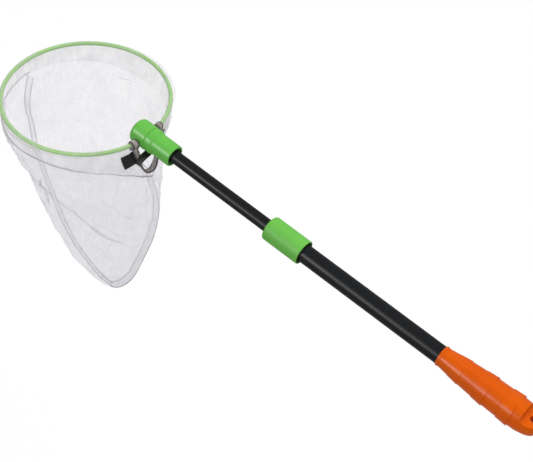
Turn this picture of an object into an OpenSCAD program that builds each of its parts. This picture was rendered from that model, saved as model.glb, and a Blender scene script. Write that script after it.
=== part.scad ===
// Hand net with a telescopic pole: grip, two tubes with a twist lock, moulded head, round hoop and a deep mesh bag.
// Frame: origin at the centre of the hanging hole in the grip, +X along the pole to the hoop, +Z up.

/* [Pole] */
// Distance from the hanging hole to the centre of the hoop, pole fully out
reach = 664.5; // [640:0.5:720]
// Outside diameter of the outer tube
outer_d = 22.2; // [21.6:0.1:22.8]
// Wall of the outer tube
outer_wall = 1.0; // [0.8:0.1:1.4]
// Outside diameter of the inner tube
inner_d = 15.9; // [14.8:0.1:16.4]
// Wall of the inner tube
inner_wall = 1.0; // [0.8:0.1:1.4]
// Travel of the telescope
travel = 147; // [100:1:150]
// Length of the guide sleeve on the inner tube
guide_l = 46; // [36:1:54]
// Diameter of the roll pin through the guide sleeve
guide_pin_d = 2.5; // [2:0.1:3]

/* [Twist lock] */
// Outside diameter of the lock collar
collar_d = 30.5; // [30:0.1:33]
// Length of the lock collar
collar_l = 52; // [50:1:58]
// Front wall of the lock collar
collar_front = 4; // [3:0.1:5]
// Soft edge radius at the collar's hoop end
collar_edge = 3; // [2:0.1:3.5]
// Wall of the ferrule over the outer tube
ferrule_wall = 1.5; // [1.3:0.1:1.7]
// Length of the ferrule's sleeve on the outer tube
ferrule_seat = 20; // [16:1:22]
// Thickness of the ferrule's stop shoulder
shoulder_t = 4; // [3:0.1:5]
// Length of the gripping fingers
finger_l = 16; // [13:0.5:17]
// Number of fingers
finger_count = 6; // [6:2:6]
// Width of the saw cuts between the fingers
finger_slot = 1.6; // [1.2:0.1:2]
// Turn of the collar from locked to free
unlock_angle = 60; // [50:1:70]
// Height of the cam pads on every second finger
cam_h = 0.8; // [0.6:0.1:1]
// Depth of the open recess at the collar's grip end
recess_l = 8; // [7:0.5:10]
// Thickness of the retaining clip's wire
clip_t = 1.2; // [1:0.1:1.5]

/* [Head] */
// Diameter of the head's front drum
drum_d = 31.4; // [30:0.1:34]
// Length of the front drum, ahead of the parting
drum_l = 23; // [20:0.5:28]
// Rounding of the drum's front edge
drum_edge = 5; // [3:0.1:6]
// Diameter of the socket's body
socket_d = 27.8; // [26.6:0.1:29]
// Length of the socket, behind the parting
socket_l = 39; // [36:0.5:46]
// Distance from the rod back to the parting
parting_back = 6; // [4:0.5:8]
// Length of the full-width flange behind the parting
flange_l = 8; // [6:0.5:10]
// Length of the taper from the flange to the body
taper_l = 4; // [3:0.5:8]
// Depth of the open recess around the inner tube
mouth_l = 5; // [4:0.5:7]
// Wall of the socket around the bush
socket_wall = 2.4; // [2:0.1:2.8]
// Shank diameter of the head screw
screw_d = 3.5; // [3:0.1:4]
// Head diameter of the head screw
screw_head_d = 7; // [6:0.1:8]

/* [Hoop] */
// Inside diameter of the hoop
hoop_inner_d = 203; // [190:1:215]
// Diameter of the hoop's rod
rod_d = 5; // [4.4:0.1:5.6]
// Droop of the hoop's far side
hoop_tilt = 5.6; // [3:0.1:8]
// Gap between the rod's two ends inside the head
rod_gap = 12; // [11:0.5:14]

/* [Bag] */
// Depth of the bag's tip below the pole's axis
bag_depth = 342; // [280:1:360]
// Thickness of the mesh as modelled
mesh_t = 1; // [0.8:0.1:1.4]
// Height of the casing band below the rod
casing_h = 26; // [20:1:32]
// Width of the seam allowance outside the bag
seam_w = 6; // [4:0.5:8]
// Thickness of the seam allowance
seam_t = 1.6; // [1.2:0.1:2]

/* [Tape] */
// Width of the grey tape
tape_w = 7; // [6:0.5:9]
// Thickness of the grey tape
tape_t = 1.2; // [1:0.1:1.5]
// Length of each cuff along the rod
cuff_l = 7; // [5:0.5:9]
// Wall of each cuff
cuff_wall = 1.6; // [1.2:0.1:2]
// Radius of the hanging tape loop
loop_r = 11; // [9:0.5:13]
// Drop of the loop's bottom below the pole's axis
loop_drop = 58; // [50:1:64]
// Width of the black label
label_w = 21; // [14:0.5:24]
// Height of the black label
label_drop = 17; // [14:0.5:20]
// Rise of the label's top edge above the ribbon
label_rise = 8; // [4:0.5:10]

/* [Grip] */
// Length of the grip
grip_l = 130; // [124:1:140]
// Distance from the hanging hole to the grip's end
hole_edge = 10; // [9:0.5:12]
// Diameter of the hanging hole
hole_d = 9; // [7:0.1:10]
// Thickness of the flattened end around the hole
end_t = 15; // [12:0.5:18]
// Greatest diameter of the grip
grip_d = 35.6; // [34:0.1:38]
// Depth of the grip's socket for the outer tube
grip_socket = 71; // [60:1:80]
// Diameter of the rim at the grip's mouth
rim_d = 24.6; // [24.4:0.1:26.5]
// Length of the rim
rim_l = 4; // [3:0.5:6]
// Distance from the hanging hole to the last step
step_last = 21; // [19:0.5:23]
// Height of the last step's edge; those nearer to the mouth are lower
step_h = 0.7; // [0.4:0.1:0.9]
// Extra height of the side pads
pad_h = 0.8; // [0.5:0.1:1.1]
// Length of a side pad along the grip
pad_l = 14; // [11:0.5:15]

/* [Hidden] */

// Fits
run_fit = 0.05;
free_gap = 0.3;
cut = 0.5;
notch_gap = 3;
cuff_gap = 0.6;
stop_gap = 2;

// Tubes
outer_r = outer_d / 2;
outer_bore_r = outer_r - outer_wall;
inner_r = inner_d / 2;
inner_bore_r = inner_r - inner_wall;

// Lock: stations along the pole, from the collar's hoop end, which the head meets when the pole is pushed in
collar_r = collar_d / 2;
collar_end = reach - hoop_inner_d / 2 - rod_d / 2 - parting_back - socket_l - travel - stop_gap;
collar_start = collar_end - collar_l;
finger_tip = collar_end - collar_front - 2;
finger_root = finger_tip - finger_l;
outer_tube_end = finger_root - shoulder_t;
journal_r = outer_r + ferrule_wall;
collar_bore_r = journal_r + run_fit;
ferrule_start = outer_tube_end - ferrule_seat;
clip_x = collar_start + recess_l - clip_t - 0.4;
clip_groove = 0.6;
clip_r = journal_r + 1.1;
recess_r = clip_r + free_gap;
finger_r = journal_r - 1.4;
lug_w = 5;
lug_h = 1.0;
lug_angle = 14;
lug_x = ferrule_start + 9;
cam_l = 6;
cam_angle = 40;

// Head: stations along the pole
rod_r = rod_d / 2;
hoop_r = hoop_inner_d / 2 + rod_r;
neck_x = reach - hoop_r;
parting_x = neck_x - parting_back;
drum_r = drum_d / 2;
flange_r = drum_r - 0.3;
socket_r = socket_d / 2;
socket_end = parting_x - socket_l;
bush_r = socket_r - socket_wall;
bush_front = parting_x - flange_l - taper_l;
bush_back = socket_end + mouth_l;

// Inner tube and guide
guide_front = outer_tube_end;
guide_back = guide_front - guide_l;
guide_cap = 3;
guide_r = outer_bore_r - run_fit;
inner_start = guide_back + guide_cap;

// Grip: stations along the pole, the hanging hole at zero
grip_r = grip_d / 2;
grip_mouth = grip_l - hole_edge;
grip_floor = grip_mouth - grip_socket;
rim_r = rim_d / 2;
neck_r = rim_r - 0.6;

// Bag outline as shares of the hoop's radius, from the hoop down: [depth share, far side, pole side, half depth]
bag_stations = [
    [0.00, 1.00, 1.00, 1.000],
    [0.25, 1.06, 1.14, 0.725],
    [0.43, 1.01, 1.08, 0.473],
    [0.62, 0.76, 0.97, 0.352],
    [0.80, 0.45, 0.87, 0.253],
    [0.90, 0.19, 0.76, 0.185],
    [0.97, -0.16, 0.66, 0.099],
    [1.00, -0.41, 0.57, 0.030]
];
seam_point = 2;
point_depth = 60;
tip_half = 3;
bag_rows = 20;
bag_columns = 20;

// ---------- helpers ----------

// Solid of revolution about the pole's axis; the profile holds [x, radius] points
module turned(profile) {
    rotate([90, 0, 90])
        rotate_extrude($fn = 96)
            polygon([for (p = profile) [p[1], p[0]]]);
}

// Cylinder along the pole's axis from x0 to x1
module along(x0, x1, r) {
    translate([x0, 0, 0])
        rotate([0, 90, 0])
            cylinder(h = x1 - x0, r = r, $fn = 96);
}

// Tube along the pole's axis
module tube(x0, x1, r_out, r_in) {
    difference() {
        along(x0, x1, r_out);
        along(x0 - cut, x1 + cut, r_in);
    }
}

// Wedge about the pole's axis, centred on the angle from +Y, for cutting sectors
module sector(x0, x1, r, centre, width) {
    translate([x0, 0, 0])
        rotate([90, 0, 90])
            rotate([0, 0, centre - width / 2])
                rotate_extrude(angle = width, $fn = 96)
                    square([r, x1 - x0]);
}

// The hoop's own frame: centre of the ring, tilted about its pole side
module on_hoop() {
    translate([neck_x, 0, 0])
        rotate([0, hoop_tilt, 0])
            translate([hoop_r, 0, 0])
                children();
}

// Ring sector about the hoop's axis, open at the pole side by twice the given half angle
module hoop_sweep(half_open) {
    on_hoop()
        rotate([0, 0, 180 + half_open])
            rotate_extrude(angle = 360 - 2 * half_open, $fn = 180)
                children();
}

// Angle at the hoop's centre that spans a distance along the rod
function rod_angle(length) = length / hoop_r * 180 / PI;

// Quarter arc from one direction to another, for rounded corners
function arc(cx, cr, r, from, to, n = 6) = [for (i = [0:n]) let (a = from + (to - from) * i / n)
    [cx + r * cos(a), cr + r * sin(a)]];

// ---------- grip ----------

// Radius of the grip's plain form at a share of its length, from the neck to the widest part
function grip_swell(u) = neck_r + (grip_r - neck_r) * (1 - pow(1 - u, 2.3));
swell_start = grip_mouth - rim_l;
swell_end = 18;
step_count = 3;
step_pitch = (swell_start - step_last) / (step_count - 0.173);
step_fade = 0.28;
window_angle = 83;
pad_angle = 52;
hollow_r = 6;
hollow_x = hole_d / 2 + 0.5;
grip_profile = concat(
    [[grip_mouth, 0], [grip_mouth, rim_r - 0.8], [grip_mouth - 0.8, rim_r], [swell_start + 1, rim_r],
     [swell_start, neck_r]],
    [for (i = [1:10]) [swell_start - i / 10 * (swell_start - swell_end), grip_swell(i / 10)]],
    [for (i = [1:8]) let (a = i * 84 / 8)
        [swell_end - (swell_end + hole_edge) * sin(a) / sin(84), grip_r * pow(cos(a), 0.55)]],
    [[-hole_edge, 0]]
);

// Radius of the plain form at a place along the pole
function grip_at(x) = grip_swell((swell_start - x) / (swell_start - swell_end));

// One moulded step: a cone that rises out of the swell and ends in a sharp edge toward the hole, seen through a window
module grip_step(edge_x, length, rise_front, rise_edge) {
    intersection() {
        turned([[edge_x + length, 0], [edge_x + length, grip_at(edge_x + length) + rise_front],
                [edge_x, grip_at(edge_x) + rise_edge], [edge_x, 0]]);
        children();
    }
}

// Window seen from the side and as deep as the grip: it reaches up and down to an angle from the side of a form
// of radius r, and its corners toward the hole are rounded as measured over that form
module side_window(x0, x1, r, angle, corner) {
    half = r * angle * PI / 180;
    function raised(path) = [for (p = path) [p[0], r * sin(p[1] / r * 180 / PI)]];
    rotate([90, 0, 0])
        linear_extrude(height = 2 * grip_d, center = true)
            polygon(raised(concat([[x1, -half], [x1, half]],
                arc(x0 + corner, half - corner, corner, 90, 170, 4),
                arc(x0 + corner, corner - half, corner, 190, 270, 4))));
}

// Side view of what is cut away over the flattened end: a flat floor that curves up toward the last step
module end_hollow() {
    translate([0, hollow_r])
        circle(r = hollow_r, $fn = 96);
    translate([-grip_d, 0])
        square([grip_d, grip_d]);
    translate([-grip_d, hollow_r])
        square([grip_d + hollow_r, grip_d]);
}

module grip() {
    color("darkorange")
    difference() {
        union() {
            turned(grip_profile);
            for (i = [0:step_count - 1]) {
                edge_x = step_last + i * step_pitch;
                share = 1 - step_fade * i;
                rise = step_h * share;
                grip_step(edge_x, step_pitch * 0.82, -0.5, rise)
                    side_window(edge_x - cut, edge_x + step_pitch, grip_at(edge_x), window_angle, 5);
                grip_step(edge_x, pad_l, pad_h * share, rise + pad_h * share)
                    side_window(edge_x - cut, edge_x + pad_l + cut, grip_at(edge_x), pad_angle, 3);
            }
        }
        along(grip_floor, grip_mouth + cut, outer_r);
        cylinder(h = grip_d, r = hole_d / 2, center = true, $fn = 64);
        for (turn = [0, 180])
            rotate([90 + turn, 0, 0])
                linear_extrude(height = 2 * grip_d, center = true)
                    translate([hollow_x, end_t / 2])
                        end_hollow();
    }
}

// ---------- pole and lock ----------

module outer_tube() {
    color([0.14, 0.14, 0.16])
    difference() {
        tube(grip_floor, outer_tube_end, outer_r, outer_bore_r);
        rivet_holes();
    }
}

rivet_d = 2.4;
rivet_x = outer_tube_end - 6;
module rivet_holes() {
    translate([rivet_x, 0, 0])
        rotate([90, 0, 0])
            cylinder(h = 2 * collar_d, d = rivet_d, center = true, $fn = 32);
}

// Two flush rivets that hold the ferrule on the outer tube
module ferrule_rivets() {
    color("silver")
    intersection() {
        rivet_holes();
        tube(rivet_x - rivet_d, rivet_x + rivet_d, journal_r - 0.1, outer_bore_r + 0.02);
    }
}

// Sleeve riveted to the outer tube, with gripping fingers, cam pads, a stop lug and a groove for the clip
module lock_ferrule() {
    color([0.2, 0.2, 0.22])
    difference() {
        union() {
            along(ferrule_start, finger_root, journal_r);
            turned([[finger_root - 1, 0], [finger_root - 1, finger_r], [finger_tip - 2, finger_r],
                    [finger_tip, finger_r - 1.2], [finger_tip, 0]]);
            for (i = [0:2])
                intersection() {
                    along(finger_tip - 3 - cam_l, finger_tip - 3, finger_r + cam_h);
                    sector(finger_root, finger_tip, collar_r, i * 120, cam_angle);
                }
            intersection() {
                along(lug_x, lug_x + lug_w, journal_r + lug_h);
                sector(lug_x, lug_x + lug_w, collar_r, 90, lug_angle);
            }
        }
        along(ferrule_start - cut, outer_tube_end, outer_r);
        along(outer_tube_end - cut, finger_tip + cut, inner_r + run_fit);
        for (i = [0:finger_count / 2 - 1])
            rotate([i * 360 / finger_count + 180 / finger_count, 0, 0])
                translate([finger_root + 1, -collar_r, -finger_slot / 2])
                    cube([finger_l + cut, collar_d, finger_slot]);
        difference() {
            along(clip_x, clip_x + clip_t, journal_r + cut);
            along(clip_x - cut, clip_x + clip_t + cut, journal_r - clip_groove);
        }
        rivet_holes();
    }
}

// Split ring in the ferrule's groove that keeps the collar on
module retaining_clip() {
    color("silver")
    difference() {
        tube(clip_x + 0.05, clip_x + clip_t - 0.05, clip_r, journal_r - clip_groove);
        sector(clip_x - cut, clip_x + clip_t + cut, collar_r, -90, 40);
    }
}

// Hand-turned collar: three lobes inside press on the ferrule's cam pads until it is turned to the free position
module lock_collar() {
    lobe_r = finger_r + cam_h + 0.08;
    color("limegreen")
    difference() {
        turned(concat([[collar_start, 0], [collar_start, collar_r - 0.6], [collar_start + 0.6, collar_r]],
            arc(collar_end - collar_edge, collar_r - collar_edge, collar_edge, 90, 0),
            [[collar_end, 0]]));
        along(collar_start - cut, collar_start + recess_l, recess_r);
        along(collar_start, finger_root, collar_bore_r);
        difference() {
            along(finger_root - cut, collar_end - collar_front, collar_bore_r);
            for (i = [0:2])
                intersection() {
                    tube(finger_tip - 3 - cam_l - free_gap, finger_tip - 3 + free_gap, collar_r, lobe_r);
                    sector(finger_root, finger_tip, collar_r, i * 120, cam_angle);
                }
        }
        along(collar_end - collar_front - cut, collar_end + cut, inner_r + free_gap);
        intersection() {
            along(lug_x - free_gap, lug_x + lug_w + free_gap, journal_r + lug_h + free_gap);
            sector(lug_x - cut, lug_x + lug_w + cut, collar_r, 90 - unlock_angle / 2,
                   unlock_angle + lug_angle + 6);
        }
    }
}

module inner_tube() {
    color([0.14, 0.14, 0.16])
    difference() {
        tube(inner_start, bush_front, inner_r, inner_bore_r);
        guide_pin_hole();
    }
}

guide_pin_x = inner_start + 10;
module guide_pin_hole() {
    translate([guide_pin_x, 0, 0])
        cylinder(h = outer_d, d = guide_pin_d, center = true, $fn = 32);
}

// Sleeve on the inner tube's lower end: it runs in the outer tube and stops on the ferrule's shoulder
module guide_sleeve() {
    color("whitesmoke")
    difference() {
        turned([[guide_back, 0], [guide_back, guide_r - 1.5], [guide_back + 1.5, guide_r],
                [guide_front, guide_r], [guide_front, 0]]);
        along(inner_start, guide_front + cut, inner_r);
        guide_pin_hole();
    }
}

// Roll pin through the guide sleeve and the inner tube
module guide_pin() {
    color("silver")
    intersection() {
        difference() {
            translate([guide_pin_x, 0, 0])
                cylinder(h = outer_d, d = guide_pin_d, center = true, $fn = 32);
            translate([guide_pin_x, 0, 0])
                cylinder(h = outer_d + 1, d = guide_pin_d - 1.2, center = true, $fn = 32);
        }
        along(guide_pin_x - guide_pin_d, guide_pin_x + guide_pin_d, guide_r - 0.2);
    }
}

// ---------- head ----------

// The rod's path through the head
module rod_channel() {
    on_hoop()
        rotate([0, 0, 180 - 15])
            rotate_extrude(angle = 30, $fn = 180)
                translate([hoop_r, 0])
                    circle(r = rod_r, $fn = 48);
}

module head_socket() {
    color("limegreen")
    difference() {
        turned(concat(
            [[parting_x, 0], [parting_x, flange_r - 1]],
            arc(parting_x - 1, flange_r - 1, 1, 0, 90),
            [[parting_x - flange_l, flange_r - 0.1]],
            [for (i = [1:5]) let (u = i / 5)
                [parting_x - flange_l - taper_l * u, flange_r - 0.1 - (flange_r - 0.1 - socket_r) * (3 * u * u - 2 * u * u * u)]],
            arc(socket_end + 1.5, socket_r - 1.5, 1.5, 90, 180),
            [[socket_end, 0]]
        ));
        along(socket_end - cut, bush_front, bush_r);
        along(parting_x - flange_l - taper_l + 3, parting_x + cut, screw_d / 2);
        rod_channel();
    }
}

module head_bush() {
    color([0.12, 0.12, 0.13])
        tube(bush_back, bush_front, bush_r, inner_r);
}

module head_cap() {
    front = parting_x + drum_l;
    color("limegreen")
    difference() {
        turned(concat(
            [[parting_x, 0], [parting_x, drum_r - 1]],
            arc(parting_x + 1, drum_r - 1, 1, 180, 90),
            arc(front - drum_edge, drum_r - drum_edge, drum_edge, 90, 0),
            [[front, 0]]
        ));
        along(parting_x - cut, front + cut, screw_d / 2);
        along(front - 4, front + cut, screw_head_d / 2 + 0.3);
        rod_channel();
    }
}

module head_screw() {
    front = parting_x + drum_l;
    color("silver")
    difference() {
        union() {
            along(parting_x - flange_l - taper_l + 3, front - 3.5, screw_d / 2);
            turned([[front - 4, 0], [front - 4, screw_head_d / 2], [front - 2.6, screw_head_d / 2],
                    [front - 1.6, screw_head_d / 4], [front - 1.6, 0]]);
        }
        for (a = [0, 90])
            rotate([a, 0, 0])
                translate([front - 2.8, -screw_head_d / 4, -0.4])
                    cube([3, screw_head_d / 2, 0.8]);
    }
}

// ---------- hoop and bag ----------

module hoop_rod() {
    color("yellowgreen")
        hoop_sweep(rod_angle(rod_gap / 2))
            translate([hoop_r, 0])
                circle(r = rod_r, $fn = 48);
}

// Half the angle left open at the head by the casing and its cuffs
cuff_start = rod_angle(drum_r + cuff_gap);
cuff_end = cuff_start + rod_angle(cuff_l);

// Mesh sleeve around the rod, its two layers sewn together below it
module casing_band() {
    outer = rod_r + mesh_t;
    color("lavender")
        hoop_sweep(cuff_end)
            difference() {
                union() {
                    translate([hoop_r, 0])
                        circle(r = outer, $fn = 48);
                    translate([hoop_r - mesh_t, -casing_h])
                        square([2 * mesh_t, casing_h]);
                }
                translate([hoop_r, 0])
                    circle(r = rod_r, $fn = 48);
            }
}

// Smooth value between the stations of the bag's outline
function spline(a, b, c, d, t) = 0.5 * (2 * b + (c - a) * t + (2 * a - 5 * b + 4 * c - d) * t * t
    + (3 * b - a - 3 * c + d) * t * t * t);
last_station = len(bag_stations) - 1;
function station(i) = bag_stations[min(max(i, 0), last_station)];
function bag_at(s) = let (k = min(floor(s), last_station - 1))
    spline(station(k - 1), station(k), station(k + 1), station(k + 2), s - k);

// One level of the bag between the mouth and the tip: [far side, pole side, half depth, z, tilt, point at the pole side]
function bag_level(row) = let (q = bag_at(row / bag_rows * last_station), drop = (bag_depth - casing_h) * q[0])
    [hoop_r * (1 + q[1]), hoop_r * (1 - q[2]), max(q[3] * hoop_r, tip_half),
     -casing_h - drop, hoop_tilt * (1 - q[0]), 1 + (seam_point - 1) * min(drop / point_depth, 1)];

// Share of the half depth at an angle: round on the far side and drawn to a point at the pole side
function bag_breadth(a, point) = sign(sin(a)) * pow(abs(sin(a)), cos(a) < 0 ? point : 1);

// Point of the bag's surface at a level and an angle from +X, moved in by the given depth
function bag_point(level, a, inset) = let (
        x = (level[0] + level[1]) / 2 + ((level[0] - level[1]) / 2 - inset) * cos(a),
        y = (level[2] - inset) * bag_breadth(a, level[5]), z = level[3], t = level[4])
    [neck_x + x * cos(t) + z * sin(t), y, z * cos(t) - x * sin(t)];

// Half of the bag between two mesh surfaces; side is 1 for the half at +Y and -1 for the half at -Y
module bag_half(side) {
    n = bag_columns + 1;
    edge = seam_t / 2;
    levels = [for (i = [0:bag_rows]) bag_level(i)];
    function column_angle(level, inset, j) = let (
            share = min(edge / (level[2] - inset), 0.9),
            start = asin(share), end = 180 - asin(pow(share, 1 / level[5])))
        side * (start + (end - start) * j / bag_columns);
    shell = [for (inset = [0, mesh_t]) for (level = levels) for (j = [0:bag_columns])
        bag_point(level, column_angle(level, inset, j), inset)];
    layer = n * (bag_rows + 1);
    function quad(a, b, c, d) = side > 0 ? [[a, c, b], [b, c, d]] : [[a, b, c], [b, d, c]];
    outer = [for (i = [0:bag_rows - 1]) for (j = [0:bag_columns - 1])
        each quad(i * n + j, i * n + j + 1, (i + 1) * n + j, (i + 1) * n + j + 1)];
    inner = [for (i = [0:bag_rows - 1]) for (j = [0:bag_columns - 1])
        each quad(layer + i * n + j + 1, layer + i * n + j, layer + (i + 1) * n + j + 1, layer + (i + 1) * n + j)];
    top = [for (j = [0:bag_columns - 1]) each quad(layer + j, layer + j + 1, j, j + 1)];
    low = bag_rows * n;
    bottom = [for (j = [0:bag_columns - 1]) each quad(low + j, low + j + 1, layer + low + j, layer + low + j + 1)];
    starts = [for (i = [0:bag_rows - 1]) each quad(layer + i * n, i * n, layer + (i + 1) * n, (i + 1) * n)];
    ends = [for (i = [0:bag_rows - 1])
        each quad(i * n + bag_columns, layer + i * n + bag_columns,
                  (i + 1) * n + bag_columns, layer + (i + 1) * n + bag_columns)];
    polyhedron(points = shell, faces = concat(outer, inner, top, bottom, starts, ends));
}

// Open notch of the bag's edge below the head, where the mesh hangs free between the cuffs
module head_notch() {
    half_w = drum_r + cuff_gap + cuff_l;
    depth = loop_drop + notch_gap;
    corner = half_w * 0.6;
    translate([neck_x, 0, 0])
        rotate([90, 0, 90])
            linear_extrude(height = 2 * hoop_r, center = true)
                polygon(concat([[half_w, 0]], arc(half_w - corner, corner - depth, corner, 0, -90),
                    arc(corner - half_w, corner - depth, corner, -90, -180), [[-half_w, 0]]));
}

module bag_front_panel() {
    color("lavender")
    difference() {
        bag_half(1);
        pole_side_only()
            head_notch();
    }
}

module bag_back_panel() {
    color("lavender")
    difference() {
        bag_half(-1);
        pole_side_only()
            head_notch();
    }
}

// Keeps what lies within a quarter of the hoop from the head
module pole_side_only() {
    intersection() {
        children();
        translate([neck_x, 0, 0])
            cube([hoop_r, hoop_inner_d, 2 * bag_depth], center = true);
    }
}

// Path moved sideways by a distance, to its right hand
function shifted(path, distance) = [for (i = [0:len(path) - 1])
    let (d = path[min(i + 1, len(path) - 1)] - path[max(i - 1, 0)])
        path[i] + [-d[1], d[0]] / norm(d) * distance];

// U-shaped seam allowance between the two panels, in the plane of the pole
module side_seam() {
    function edge(row, a, inset) = let (p = bag_point(bag_level(row), a, inset)) [p[0], p[2]];
    outer = concat([for (i = [0:bag_rows - 1]) edge(i, 0, 0)], [for (i = [0:bag_rows - 1]) edge(bag_rows - 1 - i, 180, 0)]);
    inner = concat([for (i = [0:bag_rows]) edge(i, 180, mesh_t)], [for (i = [0:bag_rows]) edge(bag_rows - i, 0, mesh_t)]);
    color("lavender")
    difference() {
        rotate([90, 0, 0])
            linear_extrude(height = seam_t, center = true)
                polygon(concat(shifted(outer, seam_w), inner));
        pole_side_only()
            head_notch();
    }
}

// ---------- tape and label ----------

// Sweeps a section along the rod where a cuff is; side is 1 for the one at +Y and -1 for the one at -Y
module along_cuff(side) {
    on_hoop()
        rotate([0, 0, side > 0 ? 180 - cuff_end : 180 + cuff_start])
            rotate_extrude(angle = cuff_end - cuff_start, $fn = 180)
                translate([hoop_r, 0])
                    children();
}

module cuff(side) {
    along_cuff(side)
        difference() {
            circle(r = rod_r + cuff_wall, $fn = 48);
            circle(r = rod_r, $fn = 48);
        }
}

module front_cuff() {
    color("dimgray")
        cuff(1);
}

module back_cuff() {
    color("dimgray")
        cuff(-1);
}

// Centre line of the ribbon in the plane across the pole: from a cuff down, around the loop and up to the other
ribbon_top = [drum_r + cuff_gap + cuff_l / 2, -rod_r - cuff_wall];
ribbon_side = arc(0, loop_r - loop_drop, loop_r, -10, -170, 12);
ribbon_path = concat([ribbon_top], ribbon_side, [[-ribbon_top[0], ribbon_top[1]]]);

// Ribbon that hangs from cuff to cuff in a loop below the head
module tape_loop() {
    color("dimgray")
    difference() {
        translate([neck_x, 0, 0])
            rotate([90, 0, 90])
                linear_extrude(height = tape_w, center = true)
                    polygon(concat(shifted(ribbon_path, -tape_t / 2),
                        [for (i = [1:len(ribbon_path)]) shifted(ribbon_path, tape_t / 2)[len(ribbon_path) - i]]));
        for (side = [-1, 1])
            along_cuff(side)
                circle(r = rod_r + cuff_wall, $fn = 48);
    }
}

// Black ribbon sewn to the loop's edge, which passes below the head
module strap_tab() {
    color([0.12, 0.12, 0.12])
    translate([neck_x - 1.5 * tape_w, -drum_r / 4, -drum_r - tape_t])
        cube([tape_w, ribbon_top[0] + drum_r / 4, tape_t - 0.02]);
}

// Folded label sewn to the loop's edge below the front cuff
module label_tag() {
    color([0.08, 0.08, 0.08])
    translate([neck_x - tape_w / 2 - 2 * tape_t, ribbon_top[0], label_rise - drum_r - tape_t - label_drop])
        cube([2 * tape_t, label_w, label_drop]);
}

grip();
outer_tube();
lock_ferrule();
ferrule_rivets();
lock_collar();
retaining_clip();
inner_tube();
guide_sleeve();
guide_pin();
head_socket();
head_bush();
head_cap();
head_screw();
hoop_rod();
casing_band();
bag_front_panel();
bag_back_panel();
side_seam();
front_cuff();
back_cuff();
tape_loop();
strap_tab();
label_tag();
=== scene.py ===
import logging
import math
from collections.abc import Callable, Sequence
from dataclasses import dataclass, field
from enum import Enum

import bmesh
import bpy
from mathutils import Matrix, Vector, noise


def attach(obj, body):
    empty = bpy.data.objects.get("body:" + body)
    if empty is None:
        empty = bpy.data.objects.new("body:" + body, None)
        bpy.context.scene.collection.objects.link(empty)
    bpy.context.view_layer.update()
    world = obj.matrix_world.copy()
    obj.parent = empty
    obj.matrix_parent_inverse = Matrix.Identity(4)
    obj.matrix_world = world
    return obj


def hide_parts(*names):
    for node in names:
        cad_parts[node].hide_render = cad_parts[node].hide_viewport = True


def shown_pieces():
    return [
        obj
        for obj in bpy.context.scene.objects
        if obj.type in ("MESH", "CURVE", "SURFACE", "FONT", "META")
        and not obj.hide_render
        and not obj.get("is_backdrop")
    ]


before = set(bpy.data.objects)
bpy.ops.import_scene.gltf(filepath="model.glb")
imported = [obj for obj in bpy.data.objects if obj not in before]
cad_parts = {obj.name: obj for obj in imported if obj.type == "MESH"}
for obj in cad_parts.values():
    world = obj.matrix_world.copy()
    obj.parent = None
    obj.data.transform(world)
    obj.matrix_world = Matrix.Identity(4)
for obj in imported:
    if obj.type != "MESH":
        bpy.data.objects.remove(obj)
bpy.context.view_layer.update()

LOG = logging.getLogger("hand_net")
Point = tuple[float, float]
Triple = tuple[float, float, float]
Quad = tuple[float, float, float, float]
Place = Callable[[float, float], Vector]
Socket = bpy.types.NodeSocket
Object = bpy.types.Object
Material = bpy.types.Material
Node = bpy.types.Node
Sockets = bpy.types.bpy_prop_collection


class Side(Enum):
    """The half of the bag: front is at +Y and back at -Y."""

    FRONT = 1
    BACK = -1


# ---------------------------------------------------------------- shader groups


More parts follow.
